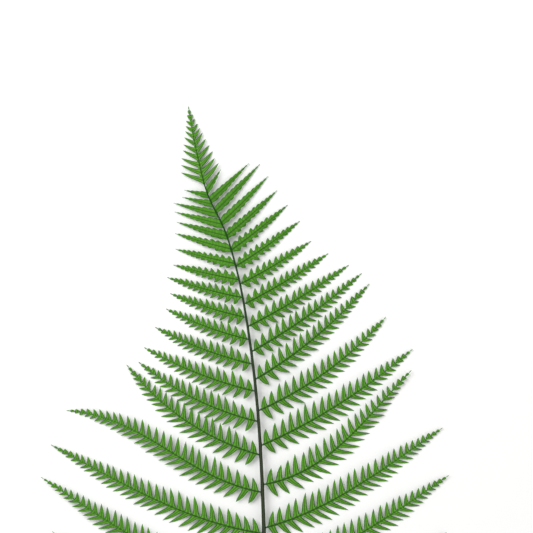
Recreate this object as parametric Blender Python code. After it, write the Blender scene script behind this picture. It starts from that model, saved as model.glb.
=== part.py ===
"""A bracken frond, cut and preserved, lying face up on a flat surface.

The frond is one stalk with a leaflet (a pinna) at each joint, left and right in turn, and a
tip blade at its end. Each pinna is one thin blade cut into narrow pointed segments along its
own midrib, the costa. The stalk runs along +Y from its cut end to the tip, and +Z is up. The
origin is under the middle of the frond, on the surface that it lies on.
"""

import math

import bpy
import numpy as np
from mathutils import Vector

MM = 0.001

# ---- Stalk, in millimetres from the cut end: across, along, and height of its centre line ----
MIDRIB_ROUTE = [
    (5.0, 0.0, 1.9),
    (2.5, 120.0, 3.2),
    (0.0, 235.0, 4.6),
    (-4.3, 317.0, 5.0),
    (-13.3, 385.0, 4.8),
    (-24.0, 427.5, 4.4),
    (-37.0, 456.0, 3.8),
    (-44.7, 485.0, 2.2),
    (-49.2, 512.0, 0.6),
]
FROND_LENGTH = 512.0
STALK_LENGTH = 460.0
STALK_STEP = 12.0
STALK_RADII = [(0, 1.9), (130, 1.6), (260, 1.15), (355, 0.85), (420, 0.55), (460, 0.42)]
JOINT_GAP = 0.3

# ---- Pinnae: joints down from the tip, spaced a little wider each time ----
RIGHT_FIRST, RIGHT_SPACING, RIGHT_GROWTH = 55.2, 6.05, 1.116
LEFT_FIRST, LEFT_SPACING, LEFT_GROWTH = 57.8, 5.6, 1.11
RIGHT_LENGTHS = [17, 35, 42, 43, 44, 47, 51, 54, 64, 77, 88, 97, 103, 117, 122, 133, 136, 133, 123]
LEFT_LENGTHS = [16, 20, 29, 32, 34, 38, 40, 44, 51, 52, 58, 68, 78, 87, 105, 138, 150, 160, 153, 137]
# How far a pinna's chord rises from square to the frond, how much its costa bends, and how much more
# it turns by its middle and back again, in degrees, against how far down the frond its joint is.
RIGHT_RISE = [
    (55, 57), (61, 44), (69, 47), (116, 31), (142, 31),
    (178, 40), (219, 32), (246, 37.5), (274, 29), (380, 28),
]
RIGHT_BEND = [(55, 2), (110, 8), (150, 8), (196, 26), (219, 16), (246, 38), (274, 19), (380, 15)]
RIGHT_SWAY = [(219, 0), (246, 16), (274, 7), (380, 0)]
LEFT_RISE = [
    (58, 12), (90, 16), (110, 12), (150, 20), (184, 21),
    (204, 26), (226, 34), (250, 22.5), (277, 22.5), (307, 24.5), (380, 25),
]
LEFT_BEND = [(58, 4), (110, 5), (150, 14), (184, 16), (226, 38), (250, -8), (277, 20), (307, 32), (380, 25)]
LEFT_SWAY = [(226, 0), (250, 26), (277, 6.5), (307, 11), (380, 8)]
COSTA_STEPS = 24

# ---- Segments of a pinna ----
BLADE_THICKNESS = 0.6
# The longest segment on each edge, against the spacing of the pinnae.
UPPER_REACH = [(6, 2.4), (9, 3.7), (13, 6.2), (25, 12.4), (36, 13.5)]
LOWER_REACH = [(6, 2.5), (9, 3.9), (13, 6.8), (18, 9.6), (25, 13.6), (36, 15.8)]
UPPER_ANGLE, LOWER_ANGLE = 71.0, 56.0  # from the costa, at the blade's base
CLOSING = 0.25  # how much less the angle is at the blade's tip
LOWER_OPENING, OPENED = 24.0, 18.0  # how much squarer the lower ones near the joint stand, and how far out
SHORT_PITCH, LONG_PITCH, LONG_PINNA = 3.3, 5.9, 100.0  # segment spacing at the blade's base
CROWDING = 1.2  # 1 would space the segments evenly
FEWEST_SEGMENTS = 2
COSTA_HALF_WIDTH = 0.6
COSTA_TAPER = 0.5  # how much of that width is lost by the blade's tip
WEB = 0.16  # how much of a segment's length is joined to its neighbours
FIRST_SEGMENT = [(15, 1.0), (60, 0.65)]  # its length over the longest's, by the blade's length
SWELLING = 1.8  # how fast the next ones gain on it
FIRST_PLACE = 0.12  # from the joint to the first segment, over the spacing
FULLNESS = [(15, 1.2), (60, 3.0)]  # by the blade's length: it tapers evenly at 1, and late at 3

# ---- How a pinna lies: its tip-side edge raised, and its end down on the surface ----
STEEP_ROLL, FLAT_ROLL = 14.0, 9.0  # at the frond's tip, and from halfway down
FLAT_FROM = 0.5
MOST_DROOP = 5.0
JOINT_REACH = 1.0  # corners this near the joint stay up with it

# ---- Tip blade ----
LOBE_PITCH = 5.1
LOBE_REACH = 15.5
LOBE_ANGLE = 56.0
FIRST_LOBE = 1.0
TIP_FILL = 1.0, 1.25  # its first lobe's share of the longest, and its fullness
TIP_BEND = -6.0


def along_route(distance):
    """The point of the midrib at this distance along the frond, on a smooth curve."""
    route = np.array(MIDRIB_ROUTE)
    last = len(route) - 1
    i = int(np.clip(np.searchsorted(route[:, 1], distance, side="right") - 1, 0, last - 1))
    before, after = route[max(i - 1, 0)], route[min(i + 2, last)]
    start, end = route[i], route[i + 1]
    span = end[1] - start[1]
    t = (distance - start[1]) / span
    leave = (end - before) * span / (end[1] - before[1])
    arrive = (after - start) * span / (after[1] - start[1])
    point = (
        (2 * t**3 - 3 * t**2 + 1) * start
        + (t**3 - 2 * t**2 + t) * leave
        + (3 * t**2 - 2 * t**3) * end
        + (t**3 - t**2) * arrive
    )
    return Vector(point)


def midrib_heading(distance):
    """The midrib's direction in plan, in degrees from +X."""
    ahead = along_route(min(distance + 1, FROND_LENGTH)) - along_route(distance - 1)
    return math.degrees(math.atan2(ahead.y, ahead.x))


def read_off(table, where):
    """A value between those of a short table, by its first column."""
    return float(np.interp(where, *zip(*table)))


def swell(t, start, fullness):
    """How long a segment is, against the longest, at t from the blade's base to its tip."""
    return min(1.0, start + SWELLING * t) * (1 - t**fullness)


def costa_point(curve, length, s):
    """Where a costa has come after s, and its heading there, in radians. Its chord lies along +X."""
    bend, sway = curve
    marks = np.linspace(0, 1, COSTA_STEPS + 1)
    headings = bend * marks + sway * np.sin(math.pi * marks)
    ahead = np.exp(1j * headings)
    route = np.append(0, np.cumsum(ahead[1:] + ahead[:-1]))
    headings -= np.angle(route[-1])
    at = np.interp(s / length, marks, route / route[-1]) * length
    return Vector((at.real, at.imag)), float(np.interp(s / length, marks, headings))


def blade_side(length, curve, first, pitch, fill, reach, angle, opening):
    """One edge of a blade from base to tip, on its +Y side: a notch, then a pointed segment."""
    points = []
    span = length - first
    count = max(FEWEST_SEGMENTS, round(CROWDING * span / pitch))
    for half in range(2 * count):
        s = first + span * (1 - (1 - half / (2 * count)) ** CROWDING)
        at, heading = costa_point(curve, length, s)
        size = reach * swell(s / length, *fill)
        if half % 2:
            opened = opening * max(0.0, 1 - (s - first) / OPENED)
            way = heading + angle * (1 - CLOSING * s / length) + opened
            points.append(at + Vector((math.cos(way), math.sin(way))) * size)
        else:
            web = WEB * size if half else 0.0  # the first notch is beside the costa
            out = max(COSTA_HALF_WIDTH * (1 - COSTA_TAPER * s / length), web)
            points.append(at + Vector((-math.sin(heading), math.cos(heading))) * out)
    return points


def blade_outline(length, curve, base, first, pitch, fill, upper, lower):
    """A blade's outline in plan: its chord along +X, its upper segments towards +Y."""
    mirrored = [-turn for turn in curve]
    upper_edge = blade_side(length, curve, first, pitch, fill, *upper)
    lower_edge = blade_side(length, mirrored, first, pitch, fill, *lower)
    tip = Vector((length, 0))
    at, heading = costa_point(curve, length, base)
    square = Vector((-math.sin(heading), math.cos(heading))) * COSTA_HALF_WIDTH
    lower_edge = [Vector((p.x, -p.y)) for p in lower_edge]
    return [at + square, *upper_edge, tip, *reversed(lower_edge), at - square]


def material(name, colour, roughness):
    made = bpy.data.materials.new(name)
    made.use_nodes = True
    shader = made.node_tree.nodes["Principled BSDF"]
    shader.inputs["Base Color"].default_value = (*colour, 1)
    shader.inputs["Roughness"].default_value = roughness
    shader.inputs["Metallic"].default_value = 0
    return made


def add_curve(name, data, finish, parent):
    data.materials.append(finish)
    made = bpy.data.objects.new(name, data)
    bpy.data.collections["bracken_frond"].objects.link(made)
    made.parent = parent
    return made


def make_stalk(finish, parent):
    """The stipe and rachis: one tube that tapers from its cut end to the tip blade."""
    data = bpy.data.curves.new("stipe_and_rachis", "CURVE")
    data.dimensions = "3D"
    data.bevel_depth = MM
    data.bevel_resolution = 2
    data.use_fill_caps = True
    spline = data.splines.new("POLY")
    count = round(STALK_LENGTH / STALK_STEP)
    spline.points.add(count)
    for i, point in enumerate(spline.points):
        distance = i * STALK_LENGTH / count
        point.co = (*(along_route(distance) * MM), 1)
        point.radius = read_off(STALK_RADII, distance)
    return add_curve("stipe_and_rachis", data, finish, parent)


def make_blade(name, outline, finish, parent):
    """A thin flat blade with this outline."""
    data = bpy.data.curves.new(name, "CURVE")
    data.dimensions = "2D"
    data.fill_mode = "BOTH"
    data.extrude = BLADE_THICKNESS / 2 * MM
    spline = data.splines.new("POLY")
    spline.points.add(len(outline) - 1)
    spline.use_cyclic_u = True
    for point, corner in zip(spline.points, outline):
        point.co = (corner.x * MM, corner.y * MM, 0, 1)
    return add_curve(name, data, finish, parent)


def droop_to_surface(outline, side, height, roll):
    """The pitch at which a rolled blade's lowest corner just reaches the surface."""
    room = height - BLADE_THICKNESS / 2
    free = [corner for corner in outline if corner.x > JOINT_REACH]
    slopes = [(room + side * corner.y * math.sin(roll)) / corner.x for corner in free]
    return min(math.radians(MOST_DROOP), min(slopes))


def make_pinna(name, side, down, length, spacing, rise, curve, finish, parent):
    """One pinna: side is 1 on the right and -1 on the left, down is from the frond's tip."""
    along = FROND_LENGTH - down
    heading = math.radians(midrib_heading(along))
    chord = math.radians(rise if side > 0 else 180 - rise)
    start = chord + side * costa_point(curve, length, 0)[1]
    across = abs(math.sin(start - heading))
    radius = read_off(STALK_RADII, along)
    base = (radius + JOINT_GAP + COSTA_HALF_WIDTH * abs(math.cos(start - heading))) / across
    size = min(1.0, length / LONG_PINNA)
    pitch = SHORT_PITCH + (LONG_PITCH - SHORT_PITCH) * size
    fill = (read_off(FIRST_SEGMENT, length), read_off(FULLNESS, length))
    upper = (read_off(UPPER_REACH, spacing), math.radians(UPPER_ANGLE), 0.0)
    lower = (read_off(LOWER_REACH, spacing), math.radians(LOWER_ANGLE), math.radians(LOWER_OPENING))
    first = base + pitch * FIRST_PLACE
    outline = blade_outline(length, curve, base, first, pitch, fill, upper, lower)
    outline = [Vector((p.x, side * p.y)) for p in outline]
    made = make_blade(name, outline, finish, parent)
    place = along_route(along)
    levelling = min(1.0, down / FROND_LENGTH / FLAT_FROM)
    roll = math.radians(STEEP_ROLL + (FLAT_ROLL - STEEP_ROLL) * levelling)
    pitch_down = droop_to_surface(outline, side, place.z, roll)
    made.location = place * MM
    made.rotation_euler = (side * roll, pitch_down, chord)
    return made


def make_row(word, side, first, spacing, growth, lengths, rises, bends, sways, finish, parent):
    """The pinnae down one side of the frond, from the tip."""
    down = first
    for number, length in enumerate(lengths, 1):
        curve = math.radians(read_off(bends, down)), math.radians(read_off(sways, down))
        name = f"{word}_pinna_{number:02d}"
        make_pinna(name, side, down, length, spacing, read_off(rises, down), curve, finish, parent)
        down += spacing
        spacing *= growth


def make_tip_blade(finish, parent):
    """The undivided end of the frond, with simple lobes along its midrib."""
    base, tip = along_route(STALK_LENGTH + JOINT_GAP), along_route(FROND_LENGTH)
    way = tip - base
    length = math.hypot(way.x, way.y)
    lobes = (LOBE_REACH, math.radians(LOBE_ANGLE), 0.0)
    curve = math.radians(TIP_BEND), 0.0
    outline = blade_outline(length, curve, 0, FIRST_LOBE, LOBE_PITCH, TIP_FILL, lobes, lobes)
    made = make_blade("tip_blade", outline, finish, parent)
    made.location = base * MM
    made.rotation_euler = (0, math.atan2(-way.z, length), math.atan2(way.y, way.x))
    return made


def centre_on_surface(frond):
    """Moves the frond so that its box is centred on the origin and stands on Z = 0."""
    bpy.context.view_layer.update()
    graph = bpy.context.evaluated_depsgraph_get()
    corners = []
    for piece in frond.children:
        shown = piece.evaluated_get(graph)
        mesh = shown.to_mesh()
        corners += [shown.matrix_world @ vertex.co for vertex in mesh.vertices]
        shown.to_mesh_clear()
    low = Vector(map(min, zip(*corners)))
    high = Vector(map(max, zip(*corners)))
    middle = (low + high) / 2
    frond.location = (-middle.x, -middle.y, -low.z)


for old in list(bpy.data.objects):
    bpy.data.objects.remove(old, do_unlink=True)
parts = bpy.data.collections.new("bracken_frond")
bpy.context.scene.collection.children.link(parts)
frond = bpy.data.objects.new("frond", None)
parts.objects.link(frond)

stalk_finish = material("stalk", (0.045, 0.05, 0.035), 0.6)
blade_finish = material("blade", (0.12, 0.32, 0.06), 0.55)
make_stalk(stalk_finish, frond)
make_tip_blade(blade_finish, frond)
make_row("right", 1, RIGHT_FIRST, RIGHT_SPACING, RIGHT_GROWTH, RIGHT_LENGTHS,
         RIGHT_RISE, RIGHT_BEND, RIGHT_SWAY, blade_finish, frond)
make_row("left", -1, LEFT_FIRST, LEFT_SPACING, LEFT_GROWTH, LEFT_LENGTHS,
         LEFT_RISE, LEFT_BEND, LEFT_SWAY, blade_finish, frond)
centre_on_surface(frond)
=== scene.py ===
import math
import random

import bmesh
import bpy
import numpy as np
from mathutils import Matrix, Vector


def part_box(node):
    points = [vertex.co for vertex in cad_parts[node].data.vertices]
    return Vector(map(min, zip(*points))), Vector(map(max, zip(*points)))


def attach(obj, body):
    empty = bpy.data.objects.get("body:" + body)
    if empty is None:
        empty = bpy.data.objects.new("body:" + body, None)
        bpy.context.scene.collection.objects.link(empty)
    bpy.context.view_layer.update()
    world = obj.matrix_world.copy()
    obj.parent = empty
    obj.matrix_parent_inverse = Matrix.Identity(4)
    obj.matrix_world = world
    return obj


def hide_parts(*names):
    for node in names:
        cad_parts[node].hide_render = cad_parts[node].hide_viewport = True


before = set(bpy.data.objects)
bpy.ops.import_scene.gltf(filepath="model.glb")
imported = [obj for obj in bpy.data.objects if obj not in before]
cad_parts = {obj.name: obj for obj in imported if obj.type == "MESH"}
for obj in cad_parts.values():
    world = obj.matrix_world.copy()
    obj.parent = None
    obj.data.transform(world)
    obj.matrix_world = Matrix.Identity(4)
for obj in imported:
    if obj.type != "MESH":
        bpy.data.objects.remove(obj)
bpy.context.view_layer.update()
bpy.ops.object.select_all(action="DESELECT")


# ---- Stipe and rachis ----------------------------------------------------------------------
# The stalk is one woody rod, cut square at its foot and thinning all the way to the tip blade.
# It is charcoal brown and dull, with a shallow channel along its upper face between two low
# ridges, a fine lengthwise grain, and a slight knee where each pinna grows from it.
MM = 0.001
MIDRIB_ROUTE = [
    (5.0, 0.0, 1.9),
    (2.5, 120.0, 3.2),
    (0.0, 235.0, 4.6),
    (-4.3, 317.0, 5.0),
    (-13.3, 385.0, 4.8),
    (-24.0, 427.5, 4.4),
    (-37.0, 456.0, 3.8),
    (-44.7, 485.0, 2.2),
    (-49.2, 512.0, 0.6),
]
FROND_LENGTH = 512.0
STALK_LENGTH = 460.0
STALK_RADII = [(0, 1.9), (130, 1.6), (260, 1.15), (355, 0.85), (420, 0.55), (460, 0.42)]
STALK_AROUND, STALK_RINGS = 16, 320
SKIN_LENGTH = 462.0  # its last 2 mm run into the tip blade's midrib
MERGE_GAP = 0.001
SMOOTH_BELOW = math.radians(50)
CHANNEL_DEPTH, CHANNEL_HALF_ANGLE = 0.2, 0.42
RIDGE_HEIGHT, RIDGE_ANGLE, RIDGE_HALF_ANGLE = 0.06, 0.8, 0.3
KNEE_SWELLING, KNEE_HALF_LENGTH = 0.16, 1.8
JOINT_ROWS = {"right": (55.2, 6.05, 1.116, 19), "left": (57.8, 5.6, 1.11, 20)}
stalk_low, stalk_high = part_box("stipe_and_rachis")
STALK_ACROSS = MIDRIB_ROUTE[0][0] + STALK_RADII[0][1]
FOOT_OVERHANG = 0.04
frond_place = Vector((stalk_high.x - STALK_ACROSS * MM, stalk_low.y + FOOT_OVERHANG * MM, stalk_low.z))


def along_route(distance):
    """The point of the midrib at this distance along the frond, in millimetres."""
    route = np.array(MIDRIB_ROUTE)
    last = len(route) - 1
    i = int(np.clip(np.searchsorted(route[:, 1], distance, side="right") - 1, 0, last - 1))
    before, after = route[max(i - 1, 0)], route[min(i + 2, last)]
    start, end = route[i], route[i + 1]
    span = end[1] - start[1]
    t = (distance - start[1]) / span
    leave = (end - before) * span / (end[1] - before[1])
    arrive = (after - start) * span / (after[1] - start[1])
    point = (
        (2 * t**3 - 3 * t**2 + 1) * start
        + (t**3 - 2 * t**2 + t) * leave
        + (3 * t**2 - 2 * t**3) * end
        + (t**3 - t**2) * arrive
    )
    return Vector(point)


def joints_down(row):
    """(distance from the frond's tip, spacing to the next) of each pinna's joint in a row."""
    down, spacing, growth, count = JOINT_ROWS[row]
    joints = []
    for _ in range(count):
        joints.append((down, spacing))
        down += spacing
        spacing *= growth
    return joints


def read_off(table, where):
    """A value between those of a short table, by its first column."""
    return float(np.interp(where, *zip(*table)))


def hump(offset, half_width):
    """A smooth rise to 1 where offset is 0."""
    return math.exp(-((offset / half_width) ** 2))


def rolled_tube(name, around, along, place_point):
    """A grid rolled into a tube with closed ends: place_point(turn, share) in metres."""
    bpy.ops.mesh.primitive_grid_add(x_subdivisions=around, y_subdivisions=along, size=1)
    tube = bpy.context.object
    tube.name = name
    for vertex in tube.data.vertices:
        vertex.co = place_point(vertex.co.x + 0.5, vertex.co.y + 0.5)
    bpy.ops.object.mode_set(mode="EDIT")
    bpy.ops.mesh.select_all(action="SELECT")
    bpy.ops.mesh.remove_doubles(threshold=MERGE_GAP * MM)
    bpy.ops.mesh.fill_holes(sides=0)
    bpy.ops.mesh.select_all(action="SELECT")
    bpy.ops.mesh.normals_make_consistent(inside=False)
    bpy.ops.object.mode_set(mode="OBJECT")
    return tube


knees = [(FROND_LENGTH - down, side) for row, side in (("right", 0.0), ("left", math.pi))
         for down, _ in joints_down(row)]


def stalk_point(turn, share):
    """The skin's point at this share of a turn around it and of its length, from the cut end."""
    distance = share * SKIN_LENGTH
    centre = along_route(distance)
    ahead = along_route(distance + 1) - along_route(max(distance - 1, 0))
    across = Vector((ahead.y, -ahead.x, 0)).normalized()
    angle = 2 * math.pi * turn
    from_top = abs((angle - math.pi / 2 + math.pi) % (2 * math.pi) - math.pi)
    radius = read_off(STALK_RADII, distance)
    radius *= 1 - CHANNEL_DEPTH * hump(from_top, CHANNEL_HALF_ANGLE)
    radius *= 1 + RIDGE_HEIGHT * hump(from_top - RIDGE_ANGLE, RIDGE_HALF_ANGLE)
    for knee, side in knees:
        facing = max(0.0, math.cos(angle - side))
        radius *= 1 + KNEE_SWELLING * facing * hump(distance - knee, KNEE_HALF_LENGTH)
    point = centre + radius * (math.cos(angle) * across + math.sin(angle) * Vector((0, 0, 1)))
    return frond_place + point * MM


stalk = rolled_tube("stipe_and_rachis_skin", STALK_AROUND, STALK_RINGS, stalk_point)

# The cut end: the pith is a little below the rind.
RIND, PITH_DEPTH = 0.32, 0.25
bpy.ops.object.mode_set(mode="EDIT")
bpy.ops.mesh.select_mode(type="FACE")
bpy.ops.mesh.select_all(action="DESELECT")
shape = bmesh.from_edit_mesh(stalk.data)
shape.faces.ensure_lookup_table()
ends = [face for face in shape.faces if len(face.verts) > 4]
foot = min(ends, key=lambda face: face.calc_center_median().y)
foot.select_set(True)
bmesh.update_edit_mesh(stalk.data)
bpy.ops.mesh.inset(thickness=RIND * MM)
bpy.ops.transform.translate(value=(0, PITH_DEPTH * MM, 0))
bpy.ops.object.mode_set(mode="OBJECT")
bpy.ops.object.shade_smooth_by_angle(angle=SMOOTH_BELOW)


def new_material(name, **constants):
    """A material with these plain values on its shader, and its node tree and shader."""
    made = bpy.data.materials.new(name)
    made.use_nodes = True
    shader = made.node_tree.nodes["Principled BSDF"]
    for socket, value in constants.items():
        shader.inputs[socket.replace("_", " ")].default_value = value
    return made, made.node_tree, shader


def node(tree, kind, settings=None, **inputs):
    """A node of this kind: settings by property name, inputs by socket name, number or link."""
    made = tree.nodes.new(kind)
    for name, value in (settings or {}).items():
        setattr(made, name, value)
    for name, value in inputs.items():
        socket = made.inputs[int(name[1:])] if name[1:].isdigit() else made.inputs[name.replace("_", " ")]
        if isinstance(value, bpy.types.NodeSocket):
            tree.links.new(value, socket)
        else:
            socket.default_value = value
    return made


def maths(tree, operation, first, second=0.0, third=0.0):
    return node(tree, "ShaderNodeMath", {"operation": operation}, i0=first, i1=second, i2=third).outputs[0]


def ramp(tree, value, low, high, start=0.0, end=1.0):
    """Eases a value from start to end as it goes from low to high."""
    made = node(
        tree, "ShaderNodeMapRange", {"interpolation_type": "SMOOTHSTEP"},
        Value=value, From_Min=low, From_Max=high, To_Min=start, To_Max=end,
    )
    return made.outputs["Result"]


def mix_colour(tree, factor, first, second):
    made = node(tree, "ShaderNodeMix", {"data_type": "RGBA"})
    for socket, value in zip((made.inputs[0], made.inputs[6], made.inputs[7]), (factor, first, second)):
        if isinstance(value, bpy.types.NodeSocket):
            tree.links.new(value, socket)
        elif socket.type == "RGBA":
            socket.default_value = (*value, 1)
        else:
            socket.default_value = value
    return made.outputs[2]


def noise(tree, place, scale, detail=3.0):
    made = node(tree, "ShaderNodeTexNoise", Vector=place, Scale=scale, Detail=detail, Roughness=0.55)
    return made.outputs["Fac"]


def places_on(tree):
    """Where a point is on the frond, and where it is on the piece's own unrolled skin."""
    place = node(tree, "ShaderNodeTexCoord").outputs["Object"]
    return place, node(tree, "ShaderNodeUVMap", {"uv_map": "UVMap"}).outputs["UV"]


def own_value(tree, name):
    return node(tree, "ShaderNodeAttribute", {"attribute_name": name}).outputs["Fac"]


def raise_surface(tree, shader, height, strength, depth):
    """Relief from a height pattern, depth in millimetres."""
    bump = node(tree, "ShaderNodeBump", Height=height, Strength=strength, Distance=depth * MM)
    tree.links.new(bump.outputs["Normal"], shader.inputs["Normal"])


def new_group(name, inputs, outputs):
    """A node group with these named sockets, and its input and output nodes."""
    group = bpy.data.node_groups.new(name, "ShaderNodeTree")
    for socket, kind, value in inputs:
        made = group.interface.new_socket(socket, in_out="INPUT", socket_type=kind)
        if value is not None:
            made.default_value = value
    for socket, kind in outputs:
        group.interface.new_socket(socket, in_out="OUTPUT", socket_type=kind)
    return group, group.nodes.new("NodeGroupInput"), group.nodes.new("NodeGroupOutput")


def use_group(tree, group, **inputs):
    return node(tree, "ShaderNodeGroup", {"node_tree": group}, **inputs)


# Dried plant tissue carries fine dark flecks over a slow patchiness, on leaf and stalk alike.
flecks, given, result = new_group(
    "dried_flecks",
    [("Place", "NodeSocketVector", None), ("Fleck Scale", "NodeSocketFloat", 1800.0),
     ("Patch Scale", "NodeSocketFloat", 60.0)],
    [("Flecks", "NodeSocketFloat"), ("Patches", "NodeSocketFloat"), ("Height", "NodeSocketFloat")],
)
fine = noise(flecks, given.outputs["Place"], given.outputs["Fleck Scale"], 2.0)
slow = noise(flecks, given.outputs["Place"], given.outputs["Patch Scale"], 2.0)
flecks.links.new(ramp(flecks, fine, 0.54, 0.68), result.inputs["Flecks"])
flecks.links.new(ramp(flecks, slow, 0.32, 0.68), result.inputs["Patches"])
flecks.links.new(fine, result.inputs["Height"])

# A stalk or costa has a grain that runs along it: fine streaks, read along its own skin.
grain, given, result = new_group(
    "lengthwise_grain",
    [("Skin", "NodeSocketVector", None), ("Around", "NodeSocketFloat", 14.0),
     ("Along", "NodeSocketFloat", 30.0)],
    [("Streaks", "NodeSocketFloat")],
)
skin = node(grain, "ShaderNodeSeparateXYZ", Vector=given.outputs["Skin"])
stretched = node(
    grain, "ShaderNodeCombineXYZ",
    X=maths(grain, "MULTIPLY", skin.outputs["X"], given.outputs["Around"]),
    Y=maths(grain, "MULTIPLY", skin.outputs["Y"], given.outputs["Along"]),
)
grain.links.new(ramp(grain, noise(grain, stretched.outputs[0], 1.0), 0.3, 0.7), result.inputs["Streaks"])

stalk_finish, tree, shader = new_material("stalk_rind", Roughness=0.62, Specular_IOR_Level=0.1)
place, skin = places_on(tree)
along_skin = node(tree, "ShaderNodeSeparateXYZ", Vector=skin).outputs["Y"]
speckle = use_group(tree, flecks, Place=place, Fleck_Scale=1400.0, Patch_Scale=90.0)
streaks = use_group(tree, grain, Skin=skin, Around=16.0, Along=60.0).outputs["Streaks"]
colour = mix_colour(tree, streaks, (0.005, 0.008, 0.003), (0.022, 0.028, 0.013))
weathered = maths(tree, "MULTIPLY", speckle.outputs["Patches"], 0.4)
colour = mix_colour(tree, weathered, colour, (0.012, 0.026, 0.008))
flecked = maths(tree, "MULTIPLY", speckle.outputs["Flecks"], 0.35)
colour = mix_colour(tree, flecked, colour, (0.06, 0.062, 0.038))
# Painted highlight: the upper face, along the channel and its ridges, is painted lighter where light from
# above falls on it.
around_skin = node(tree, "ShaderNodeSeparateXYZ", Vector=skin).outputs["X"]
from_top = maths(tree, "ABSOLUTE", maths(tree, "SUBTRACT", around_skin, 0.25))
colour = mix_colour(tree, ramp(tree, from_top, 0.03, 0.13, 0.6, 0.0), colour, (0.05, 0.066, 0.036))
colour = mix_colour(tree, ramp(tree, along_skin, 0.62, 1.0, 0.0, 0.92), colour, (0.009, 0.056, 0.005))
tree.links.new(colour, shader.inputs["Base Color"])
tree.links.new(ramp(tree, streaks, 0.0, 1.0, 0.55, 0.7), shader.inputs["Roughness"])
raise_surface(tree, shader, maths(tree, "ADD", streaks, speckle.outputs["Height"]), 0.5, 0.12)

pith_finish, tree, shader = new_material("stalk_pith", Roughness=0.8)
place = node(tree, "ShaderNodeTexCoord").outputs["Object"]
tubes = node(tree, "ShaderNodeTexVoronoi", Vector=place, Scale=3200.0).outputs["Distance"]
tree.links.new(
    mix_colour(tree, ramp(tree, tubes, 0.1, 0.6), (0.09, 0.055, 0.03), (0.34, 0.25, 0.15)),
    shader.inputs["Base Color"],
)
raise_surface(tree, shader, tubes, 0.6, 0.1)

stalk.data.materials.append(stalk_finish)
stalk.data.materials.append(pith_finish)
for face in stalk.data.polygons:
    if len(face.vertices) > 4 and face.normal.y < 0:
        face.material_index = 1
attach(stalk, "root")
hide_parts("stipe_and_rachis")


# ---- One segment ---------------------------------------------------------------------------
# A segment is the smallest leaflet: a thin pointed blade joined to its costa by its whole
# foot. Its midvein lies in a groove, its two halves are crowned, and its margins curl under.
# Three are modelled, and every other one is a copy of one of them.

# Distance from the costa and half width, row by row. The second row is where the notches end.
NOTCH_ROW = 0.08
UPPER_ROWS = [(0, 0.5), (NOTCH_ROW, 0.5), (0.12, 0.375), (0.3, 0.315), (0.55, 0.26), (0.8, 0.155), (1, 0)]
LOWER_ROWS = [(0, 0.5), (NOTCH_ROW, 0.5), (0.12, 0.375), (0.3, 0.325), (0.56, 0.29), (0.8, 0.185), (1, 0)]
TOOTH_ROWS = [(0, 0.5), (NOTCH_ROW, 0.5), (0.35, 0.43), (0.7, 0.26), (1, 0)]
COLUMNS = [-1.0, -0.6, 0.0, 0.6, 1.0]  # margin, crown, midvein, crown, margin
COLUMN_HEIGHTS = [-0.7, 0.2, -0.14, 0.2, -0.7]
FOOT_CURL, CURL_GAIN, FULL_CURL_FROM = 0.3, 0.7, 0.25  # the margins curl less at the foot
TIP_CURL_LOSS = 0.5
SAG_TURN = 0.7  # a segment rises as far as this share of it, and then bends down


def model_segment(name, rows, backward, sag):
    """A flat grid shaped into a segment: foot at x 0 to tip at x 1, y in steps of its spacing."""
    bpy.ops.mesh.primitive_grid_add(x_subdivisions=len(rows) - 1, y_subdivisions=len(COLUMNS) - 1, size=1)
    segment = bpy.context.object
    segment.name = name
    row_numbers, side_values = [], []
    for vertex in segment.data.vertices:
        row = round((vertex.co.x + 0.5) * (len(rows) - 1))
        column = round((vertex.co.y + 0.5) * (len(COLUMNS) - 1))
        row_numbers.append(row)
        side_values.append(COLUMNS[column])
        reach, half_width = rows[row]
        y = half_width * COLUMNS[column] - backward * 4 * reach * (1 - reach)
        curl = min(1.0, FOOT_CURL + CURL_GAIN * reach / FULL_CURL_FROM) * (1 - TIP_CURL_LOSS * reach)
        z = COLUMN_HEIGHTS[column] * curl * (1 - reach**4) + sag * reach * (SAG_TURN - reach)
        vertex.co = (reach, y, z)
    segment.data.attributes.new("row", "INT", "POINT").data.foreach_set("value", row_numbers)
    segment.data.attributes.new("side", "FLOAT", "POINT").data.foreach_set("value", side_values)
    corners = segment.data.uv_layers.active.data
    for loop in segment.data.loops:
        corners[loop.index].uv.x = segment.data.vertices[loop.vertex_index].co.x
    return segment


upper_segment = model_segment("upper_segment", UPPER_ROWS, 0.07, 1.2)
lower_segment = model_segment("lower_segment", LOWER_ROWS, 0.1, 1.2)
short_tooth = model_segment("short_tooth", TOOTH_ROWS, 0.03, 0.4)


# ---- Pinnae --------------------------------------------------------------------------------
# Each pinna is one leaflet: a thin stem of its own, the costa, with a row of segments along
# both sides, all grown as one piece. It leaves the stalk at a knee, curves towards the
# frond's tip, and is rolled a little, so that it lies over the pinna below it.

# How much a costa bends, and how much more it turns by its middle and back again, in degrees,
# against how far down the frond it is.
RIGHT_BEND = [(55, 2), (110, 8), (150, 8), (196, 26), (219, 16), (246, 38), (274, 19), (380, 15)]
RIGHT_SWAY = [(219, 0), (246, 16), (274, 7), (380, 0)]
LEFT_BEND = [
    (58, 4), (110, 5), (150, 14), (184, 16), (226, 38), (250, -8), (277, 20), (307, 32), (380, 25),
]
LEFT_SWAY = [(226, 0), (250, 26), (277, 6.5), (307, 11), (380, 8)]
COSTA_STEPS = 24
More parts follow.
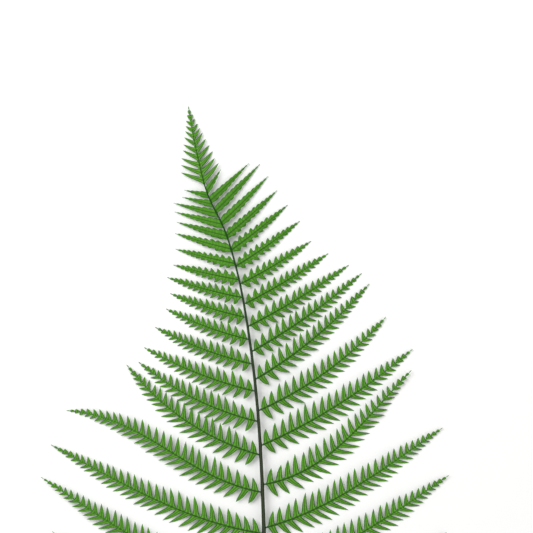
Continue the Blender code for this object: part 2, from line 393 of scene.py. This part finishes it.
# The longest segment on each edge, and how far segments are joined, against the pinnae's spacing.
UPPER_REACH = [(6, 2.4), (9, 3.7), (13, 6.2), (25, 12.4), (36, 13.5)]
LOWER_REACH = [(6, 2.5), (9, 3.9), (13, 6.8), (18, 9.6), (25, 13.6), (36, 15.8)]
WEBS = [(6, 0.88), (8, 0.74), (10, 0.54), (13, 0.3), (18, 0.13), (23, 0.08)]
RUNS_ON = (0.1, 0.6), (0.0, 1.0)  # how far the first segments run onto the stalk, by the web
UPPER_ANGLE, LOWER_ANGLE = 71.0, 56.0  # from the costa, at the blade's base
CLOSING = 0.25  # how much less the angle is at the blade's tip
LOWER_OPENING, OPENED = 24.0, 18.0  # the lower ones near the joint stand squarer
SHORT_PITCH, LONG_PITCH, LONG_PINNA = 3.3, 5.9, 100.0  # segment spacing at the blade's base
CROWDING = 1.2  # 1 would space the segments evenly
FEWEST_SEGMENTS = 2
FIRST_SEGMENT = [(15, 1.0), (60, 0.65)]  # its length over the longest's, by the blade's length
SWELLING = 1.8  # how fast the next ones gain on it
FIRST_PLACE = 0.12  # from the joint to the first segment, over the spacing
FULLNESS = [(15, 1.2), (60, 3.0)]  # by the blade's length: it tapers evenly at 1, and late at 3
COSTA_HALF_WIDTH, COSTA_TIP_HALF_WIDTH = 0.5, 0.13
COSTA_AROUND, COSTA_RING_SPACING, COSTA_FEWEST_RINGS, COSTA_HEIGHT = 8, 2.5, 8, 0.85
SHORT_COSTA, LONG_COSTA_GAIN = 0.55, 0.45  # a short pinna has a thinner costa
LEAF_THICKNESS, SEAM_GAP = 0.22, 0.03
LEAST_HEIGHT, SETTLING = 0.3, 0.35
LONG_FROM = 0.95  # a segment longer than this share of its spacing is a long one
SIZE_SPREAD, LEAN_SPREAD, MOST_DROOP = 0.06, 3.5, 11.0
TWIST_BACK, TWIST_FORWARD = -8.0, 12.0
PINNA_TINTS, SEGMENT_TINTS = 0.3, 0.16
FULL_RELIEF_PITCH = 5.0  # closer segments than this have lower crowns
chance = random.Random(11)


def swell(t, start, fullness):
    """How long a segment is, against the longest, at t from the blade's base to its tip."""
    return min(1.0, start + SWELLING * t) * (1 - t**fullness)


def settle(height):
    """Nothing sinks into the surface: what comes near it flattens out just above it."""
    knee = LEAST_HEIGHT + SETTLING
    if height > knee:
        return height
    return LEAST_HEIGHT + SETTLING * math.exp((height - knee) / SETTLING)


class Blade:
    """Where a leaf blade lies, how its costa runs, and how its edges are cut."""

    def __init__(self, node_name, joint, side, curve, arch, web, tint):
        """joint in millimetres; side is 1 where its upper side is on its left, -1 on its right;
        curve is the costa's bend and sway in degrees."""
        self.node_name = node_name
        self.joint = joint
        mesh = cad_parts[node_name].data
        face = max(mesh.polygons, key=lambda polygon: polygon.area)
        self.up = face.normal.copy() if face.normal.z > 0 else -face.normal
        corners = [(vertex.co - frond_place) / MM - joint for vertex in mesh.vertices]
        flat = [corner - self.up * corner.dot(self.up) for corner in corners]
        tip = max(flat, key=lambda corner: corner.length)
        self.length = tip.length
        self.ahead = tip.normalized()
        self.beside = side * self.up.cross(self.ahead)
        bend, sway = map(math.radians, curve)
        marks = np.linspace(0, 1, COSTA_STEPS + 1)
        headings = bend * marks + sway * np.sin(math.pi * marks)
        ahead = np.exp(1j * headings)
        route = np.append(0, np.cumsum(ahead[1:] + ahead[:-1]))
        self.marks = marks * self.length
        self.headings = headings - np.angle(route[-1])
        self.route = route / route[-1] * self.length
        self.arch = arch * self.length
        self.fill = read_off(FIRST_SEGMENT, self.length), read_off(FULLNESS, self.length)
        self.web = web
        self.tint = tint
        self.places = []
        self.runs_on = self.stalk_way = self.stalk_skin = 0.0

    def heading(self, s):
        """The costa's direction after s, in radians from the blade's own length."""
        return float(np.interp(s, self.marks, self.headings))

    def costa(self, s):
        """(ahead, beside, up) of the costa's point after s, in the blade's own frame."""
        at = np.interp(s, self.marks, self.route)
        return Vector((at.real, at.imag, self.arch * math.sin(math.pi * s / self.length)))

    def place_segments(self, first, pitch):
        """Sets how far along the costa each notch and segment is, in turn, to the last notch."""
        span = self.length - first
        halves = 2 * max(FEWEST_SEGMENTS, round(CROWDING * span / pitch))
        shares = [1 - (1 - half / halves) ** CROWDING for half in range(halves + 1)]
        self.places = [first + span * share for share in shares]

    def meet_stalk(self, stalk_ahead, radius):
        """Where its segments are joined to each other, the first ones run onto the stalk as well."""
        self.runs_on = float(np.interp(self.web, *RUNS_ON))
        self.stalk_way = math.atan2(stalk_ahead.dot(self.beside), stalk_ahead.dot(self.ahead))
        self.stalk_skin = radius

    def foot(self, s):
        """Where the notch at s starts from the costa."""
        if s == self.places[0]:
            s += self.runs_on * (self.stalk_skin - s)
        return self.costa(s)

    def notch(self, s, edge, reach):
        """The bottom of the notch beside the costa at s."""
        square = self.heading(s) + edge * math.pi / 2
        out = self.web * reach * swell(s / self.length, *self.fill)
        if s == self.places[0]:
            turn = self.runs_on * (self.stalk_way - self.heading(s) - math.pi / 2)
            square += turn
            out = COSTA_HALF_WIDTH + self.runs_on * (out / math.cos(turn) - COSTA_HALF_WIDTH)
        return self.foot(s) + Vector((math.cos(square), math.sin(square), 0)) * out

    def turns_over(self, edge):
        """Whether a copy laid on this edge comes out face down, and has to be turned round."""
        return self.ahead.cross(self.beside).dot(self.up) * edge > 0

    def to_world(self, point):
        placed = self.joint + self.ahead * point.x + self.beside * point.y + self.up * point.z
        placed.z = settle(placed.z)
        return frond_place + placed * MM


def lay_edge(sheet, blade, edge, reach, angle, opening):
    """Copies segments along one edge of a blade: edge is 1 on its upper side, -1 on its lower."""
    tints = sheet.verts.layers.float["tint"]
    rows = sheet.verts.layers.int["row"]
    sides = sheet.verts.layers.float["side"]
    cuts = sheet.verts.layers.float["cut"]
    long_segment = upper_segment if edge > 0 else lower_segment
    for before, s, after in zip(blade.places[:-2:2], blade.places[1::2], blade.places[2::2]):
        t = s / blade.length
        size = reach * swell(t, *blade.fill) * (1 + chance.uniform(-SIZE_SPREAD, SIZE_SPREAD))
        pitch = after - before
        heading = blade.heading(s)
        lean = angle * (1 - CLOSING * t) + opening * max(0.0, 1 - (s - blade.places[0]) / OPENED)
        way = heading + edge * (lean + math.radians(chance.uniform(-LEAN_SPREAD, LEAN_SPREAD)))
        free = 1 - blade.web
        droop = math.radians(chance.uniform(0, MOST_DROOP) * free + MOST_DROOP / 2 * blade.web)
        twist = edge * math.radians(chance.uniform(TWIST_BACK, TWIST_FORWARD)) * free
        out = Vector((math.cos(way), math.sin(way), -math.sin(droop))) * size
        foot = Vector((math.cos(heading), math.sin(heading), math.sin(twist))) * pitch
        up = Vector((0, 0, min(1.0, pitch / FULL_RELIEF_PITCH) * free))
        shade = blade.tint + chance.uniform(-SEGMENT_TINTS, SEGMENT_TINTS)
        first_vertex, first_face = len(sheet.verts), len(sheet.faces)
        sheet.from_mesh((long_segment if size > LONG_FROM * pitch else short_tooth).data)
        sheet.verts.ensure_lookup_table()
        sheet.faces.ensure_lookup_table()
        for vertex in sheet.verts[first_vertex:]:
            u, v, w = vertex.co
            if vertex[rows] <= 1:
                u = u / NOTCH_ROW * blade.web
            else:
                u = 1 - (1 - u) / (1 - NOTCH_ROW) * (1 - blade.web)
            vertex[tints] = shade
            vertex[cuts] = free
            local = blade.costa(s) + out * u + foot * v + up * w
            if vertex[rows] == 0:
                local = blade.costa(s + v * pitch)
            if abs(vertex[sides]) == 1 and vertex[rows] <= 1:
                notch_at = after if vertex[sides] > 0 else before
                local = blade.notch(notch_at, edge, reach) if vertex[rows] else blade.foot(notch_at)
            vertex.co = blade.to_world(local)
        if blade.turns_over(edge):
            bmesh.ops.reverse_faces(sheet, faces=sheet.faces[first_face:])


def grow_blade(blade, upper, lower, costa_radii):
    """One blade: two edges of segments with a thin wall, and the costa along their middle."""
    sheet = bmesh.new()
    sheet.verts.layers.float.new("tint")
    sheet.verts.layers.int.new("row")
    sheet.verts.layers.float.new("side")
    sheet.verts.layers.float.new("cut")
    lay_edge(sheet, blade, 1, *upper)
    lay_edge(sheet, blade, -1, *lower)
    bmesh.ops.remove_doubles(sheet, verts=sheet.verts, dist=SEAM_GAP * MM)
    name = f"{blade.node_name}_leaf"
    leaf_mesh = bpy.data.meshes.new(name)
    sheet.to_mesh(leaf_mesh)
    sheet.free()
    leaf = bpy.data.objects.new(name, leaf_mesh)
    bpy.context.scene.collection.objects.link(leaf)
    for finish in blade_finishes:
        leaf.data.materials.append(finish)
    bpy.ops.object.select_all(action="DESELECT")
    bpy.context.view_layer.objects.active = leaf
    leaf.select_set(True)
    wall = leaf.modifiers.new("wall", "SOLIDIFY")
    wall.thickness = LEAF_THICKNESS * MM
    wall.offset = -1
    wall.material_offset = 1
    bpy.ops.object.modifier_apply(modifier=wall.name)

    def costa_place(turn, share):
        """The costa's skin, as stalk_point is the stalk's."""
        s = share * blade.length
        along = blade.heading(s)
        radius = costa_radii[0] + (costa_radii[1] - costa_radii[0]) * share
        angle = 2 * math.pi * turn
        beside = Vector((-math.sin(along), math.cos(along), 0)) * math.cos(angle)
        above = Vector((0, 0, COSTA_HEIGHT)) * math.sin(angle)
        place = blade.to_world(blade.costa(s) + (beside + above) * radius)
        # It stands out under the leaf as far as it does on top.
        place.z -= LEAF_THICKNESS * MM * max(0.0, -math.sin(angle))
        return place

    rings = max(COSTA_FEWEST_RINGS, round(blade.length / COSTA_RING_SPACING))
    costa = rolled_tube("costa", COSTA_AROUND, rings, costa_place)
    for finish in blade_finishes:
        costa.data.materials.append(finish)
    for face in costa.data.polygons:
        face.material_index = blade_finishes.index(costa_finish)
    for layer, value in (("tint", blade.tint), ("cut", 1 - blade.web)):
        shaded = costa.data.attributes.new(layer, "FLOAT", "POINT")
        shaded.data.foreach_set("value", [value] * len(costa.data.vertices))
    leaf.select_set(True)
    bpy.context.view_layer.objects.active = leaf
    bpy.ops.object.join()
    bpy.ops.object.shade_smooth_by_angle(angle=SMOOTH_BELOW)
    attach(leaf, "root")
    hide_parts(blade.node_name)


# Both faces of a segment have a midvein, and side veins that leave it at a slant.
veins, given, result = new_group(
    "slanting_side_veins",
    [("Skin", "NodeSocketVector", None), ("Count", "NodeSocketFloat", 9.0),
     ("Slant", "NodeSocketFloat", -1.6), ("Width", "NodeSocketFloat", 0.16)],
    [("Veins", "NodeSocketFloat"), ("From Midvein", "NodeSocketFloat")],
)
skin = node(veins, "ShaderNodeSeparateXYZ", Vector=given.outputs["Skin"])
from_midvein = maths(veins, "ABSOLUTE", maths(veins, "MULTIPLY_ADD", skin.outputs["Y"], 2.0, -1.0))
slanted = maths(veins, "MULTIPLY", from_midvein, given.outputs["Slant"])
spaced = maths(veins, "MULTIPLY_ADD", skin.outputs["X"], given.outputs["Count"], slanted)
from_line = maths(veins, "PINGPONG", spaced, 0.5)
fine_lines = ramp(veins, from_line, 0.0, given.outputs["Width"], 1.0, 0.0)
veins.links.new(fine_lines, result.inputs["Veins"])
veins.links.new(from_midvein, result.inputs["From Midvein"])

# The upper face is mid green and dull. Its two crowned halves carry a painted highlight, its curled
# margins carry painted shade, and the midvein's groove is a darker olive, partly the vein's own colour
# and partly painted shade. Brown flecks follow the midvein, and pairs of forked side veins show as fine
# lines.
leaf_finish, tree, shader = new_material("leaf_upper", Roughness=0.55, Specular_IOR_Level=0.06)
place, skin = places_on(tree)
out_from_costa = node(tree, "ShaderNodeSeparateXYZ", Vector=skin).outputs["X"]
vein_lines = use_group(tree, veins, Skin=skin, Count=9.0, Slant=-1.6, Width=0.16)
side_vein, out_from_vein = vein_lines.outputs["Veins"], vein_lines.outputs["From Midvein"]
speckle = use_group(tree, flecks, Place=place, Fleck_Scale=2200.0, Patch_Scale=560.0)
tint, cut = own_value(tree, "tint"), own_value(tree, "cut")
colour = mix_colour(tree, speckle.outputs["Patches"], (0.024, 0.145, 0.003), (0.062, 0.228, 0.012))
colour = mix_colour(tree, ramp(tree, tint, -0.5, 0.5, 0.0, 0.5), colour, (0.068, 0.255, 0.014))
colour = mix_colour(tree, maths(tree, "MULTIPLY", side_vein, 0.15), colour, (0.1, 0.31, 0.03))
# Painted highlight: the crowned halves between the midvein and the margins are painted lighter, and pinnae
# whose segments are joined are painted a little lighter all over.
inner_slope = ramp(tree, out_from_vein, 0.05, 0.3)
outer_slope = ramp(tree, out_from_vein, 0.42, 0.72, 1.0, 0.0)
crown = maths(tree, "MULTIPLY", inner_slope, outer_slope)
crown = maths(tree, "MULTIPLY", crown, ramp(tree, noise(tree, place, 1100.0), 0.3, 0.6, 0.35, 1.0))
joined = maths(tree, "SUBTRACT", 1.0, cut)
crown = maths(tree, "MULTIPLY_ADD", crown, cut, maths(tree, "MULTIPLY", joined, 0.3))
colour = mix_colour(tree, maths(tree, "MULTIPLY", crown, 0.78), colour, (0.155, 0.43, 0.055))
# Partly painted shade: a darker olive band along the midvein, partly the vein's own colour and partly
# shade painted into its groove.
vein_colour_and_groove_shade = maths(tree, "MULTIPLY", ramp(tree, out_from_vein, 0.0, 0.35, 1.0, 0.0), cut)
colour = mix_colour(tree, maths(tree, "MULTIPLY", vein_colour_and_groove_shade, 0.6), colour, (0.044, 0.105, 0.008))
near_middle = ramp(tree, out_from_vein, 0.2, 0.8, 1.0, 0.0)
brown = maths(tree, "MULTIPLY", near_middle, speckle.outputs["Flecks"])
colour = mix_colour(tree, maths(tree, "MULTIPLY", brown, 0.65), colour, (0.095, 0.09, 0.02))
# Painted shade: the curled margins are painted dark green, and on pinnae whose segments are joined the
# teeth past the notch row are painted dark too.
past_notch = ramp(tree, out_from_costa, 0.04, 0.2)
margin = maths(tree, "MULTIPLY", ramp(tree, out_from_vein, 0.45, 0.85), past_notch)
outer_edge = ramp(tree, out_from_costa, 0.055, 0.1)
outer_edge = maths(tree, "MULTIPLY", outer_edge, maths(tree, "POWER", joined, 2.0))
margin = maths(tree, "MULTIPLY_ADD", margin, cut, outer_edge)
colour = mix_colour(tree, maths(tree, "MULTIPLY", margin, 0.92), colour, (0.004, 0.075, 0.001))
tree.links.new(colour, shader.inputs["Base Color"])
tree.links.new(ramp(tree, speckle.outputs["Height"], 0.3, 0.7, 0.48, 0.62), shader.inputs["Roughness"])
grain_height = maths(tree, "MULTIPLY", speckle.outputs["Height"], 0.8)
height = maths(tree, "MULTIPLY_ADD", side_vein, -0.4, grain_height)
raise_surface(tree, shader, height, 0.6, 0.15)

# The underside is paler and greyer, with raised veins.
underside_finish, tree, shader = new_material("leaf_underside", Roughness=0.7, Specular_IOR_Level=0.12)
place, skin = places_on(tree)
side_vein = use_group(tree, veins, Skin=skin, Count=9.0, Slant=-1.6, Width=0.16).outputs["Veins"]
speckle = use_group(tree, flecks, Place=place, Fleck_Scale=1500.0, Patch_Scale=140.0)
colour = mix_colour(tree, speckle.outputs["Patches"], (0.13, 0.27, 0.08), (0.18, 0.33, 0.12))
colour = mix_colour(tree, maths(tree, "MULTIPLY", side_vein, 0.5), colour, (0.24, 0.38, 0.17))
flecked = maths(tree, "MULTIPLY", speckle.outputs["Flecks"], 0.3)
colour = mix_colour(tree, flecked, colour, (0.16, 0.13, 0.06))
tree.links.new(colour, shader.inputs["Base Color"])
raise_surface(tree, shader, maths(tree, "ADD", side_vein, speckle.outputs["Height"]), 0.5, 0.12)

# The costa is dark grey-green at the stalk, and turns leaf green towards its tip. On a pinna
# whose segments are joined, it is greener all along.
costa_finish, tree, shader = new_material("costa_rind", Roughness=0.6, Specular_IOR_Level=0.06)
place, skin = places_on(tree)
along_skin = node(tree, "ShaderNodeSeparateXYZ", Vector=skin).outputs["Y"]
speckle = use_group(tree, flecks, Place=place, Fleck_Scale=1500.0, Patch_Scale=140.0)
streaks = use_group(tree, grain, Skin=skin, Around=8.0, Along=26.0).outputs["Streaks"]
colour = mix_colour(tree, streaks, (0.016, 0.048, 0.011), (0.048, 0.108, 0.033))
flecked = maths(tree, "MULTIPLY", speckle.outputs["Flecks"], 0.4)
colour = mix_colour(tree, flecked, colour, (0.02, 0.028, 0.012))
colour = mix_colour(tree, ramp(tree, along_skin, 0.5, 1.0, 0.0, 0.9), colour, (0.06, 0.235, 0.02))
cut = own_value(tree, "cut")
colour = mix_colour(tree, ramp(tree, cut, 0.15, 0.8, 0.62, 0.0), colour, (0.055, 0.19, 0.016))
tree.links.new(colour, shader.inputs["Base Color"])
tree.links.new(ramp(tree, streaks, 0.0, 1.0, 0.5, 0.66), shader.inputs["Roughness"])
raise_surface(tree, shader, maths(tree, "ADD", streaks, speckle.outputs["Height"]), 0.4, 0.1)

blade_finishes = [leaf_finish, underside_finish, costa_finish]
JOINT_GAP = 0.3
PINNA_ARCH = 0.006
ROWS = [("right", 1, RIGHT_BEND, RIGHT_SWAY), ("left", -1, LEFT_BEND, LEFT_SWAY)]
for row, side, bends, sways in ROWS:
    for number, (down, spacing) in enumerate(joints_down(row), 1):
        along = FROND_LENGTH - down
        curve = read_off(bends, down), read_off(sways, down)
        blade = Blade(f"{row}_pinna_{number:02d}", along_route(along), side, curve, PINNA_ARCH,
                      read_off(WEBS, spacing), chance.uniform(-PINNA_TINTS, PINNA_TINTS))
        size = min(1.0, blade.length / LONG_PINNA)
        pitch = SHORT_PITCH + (LONG_PITCH - SHORT_PITCH) * size
        radius = read_off(STALK_RADII, along)
        blade.place_segments(radius + JOINT_GAP + pitch * FIRST_PLACE, pitch)
        blade.meet_stalk(along_route(along + 1) - along_route(along - 1), radius)
        upper = read_off(UPPER_REACH, spacing), math.radians(UPPER_ANGLE), 0.0
        lower = read_off(LOWER_REACH, spacing), math.radians(LOWER_ANGLE), math.radians(LOWER_OPENING)
        costa_radius = COSTA_HALF_WIDTH * (SHORT_COSTA + LONG_COSTA_GAIN * size)
        grow_blade(blade, upper, lower, (costa_radius, COSTA_TIP_HALF_WIDTH))


# ---- Tip blade -----------------------------------------------------------------------------
# The frond ends in one undivided blade: simple pointed lobes along the end of the midrib,
# shorter and shorter to a thin point. It grew as one piece with its midrib.
LOBE_PITCH, LOBE_REACH, LOBE_ANGLE = 5.1, 15.5, 56.0
FIRST_LOBE, TIP_FILL, TIP_CURVE = 1.0, (1.0, 1.25), (-6.0, 0.0)
TIP_WEB, TIP_ARCH, TIP_TINT = 0.1, 0.008, 0.1
TIP_MIDRIB_RADII = (0.44, 0.13)
tip_blade = Blade("tip_blade", along_route(STALK_LENGTH + JOINT_GAP), 1, TIP_CURVE, TIP_ARCH,
                  TIP_WEB, TIP_TINT)
tip_blade.fill = TIP_FILL
tip_blade.place_segments(FIRST_LOBE, LOBE_PITCH)
lobes = LOBE_REACH, math.radians(LOBE_ANGLE), 0.0
grow_blade(tip_blade, lobes, lobes, TIP_MIDRIB_RADII)

for pattern in (upper_segment, lower_segment, short_tooth):
    bpy.data.objects.remove(pattern, do_unlink=True)


# ---- Surface, light and camera -------------------------------------------------------------
# The frond lies face up on a plain white table, loose, with nothing under or through it. A
# large soft light stands over its upper left, a weaker one over its lower right.
TABLE_SIZE = 6
bpy.ops.mesh.primitive_plane_add(size=TABLE_SIZE, location=(0, 0, 0))
floor = bpy.context.object
floor.name = "floor"
floor_finish, tree, shader = new_material("floor", Base_Color=(0.88, 0.88, 0.87, 1), Roughness=0.8)
floor.data.materials.append(floor_finish)


def soft_light(name, place, size, power, aim):
    """A square lamp at this place in metres, turned to face aim."""
    bpy.ops.object.light_add(type="AREA", location=place)
    lamp = bpy.context.object
    lamp.name = name
    lamp.data.size = size
    lamp.data.energy = power
    lamp.rotation_euler = (aim - Vector(place)).to_track_quat("-Z", "Y").to_euler()


VIEW_CENTRE = 1.6, 407.9, 0.0
view_centre = frond_place + Vector(VIEW_CENTRE) * MM
soft_light("window", (-0.9, 0.9, 1.3), 1.2, 26, view_centre)
soft_light("fill", (1.2, -0.4, 1.2), 1.6, 7, view_centre)
world = bpy.data.worlds.new("room")
world.use_nodes = True
world.node_tree.nodes["Background"].inputs["Color"].default_value = (1, 1, 1, 1)
world.node_tree.nodes["Background"].inputs["Strength"].default_value = 0.55
bpy.context.scene.world = world
bpy.context.scene.view_settings.view_transform = "Standard"

VIEW_WIDTH = 346.45
CAMERA_HEIGHT = 1500.0
bpy.ops.object.camera_add(location=view_centre + Vector((0, 0, CAMERA_HEIGHT)) * MM, rotation=(0, 0, 0))
camera = bpy.context.object
camera.data.lens = camera.data.sensor_width * CAMERA_HEIGHT / VIEW_WIDTH
bpy.context.scene.camera = camera
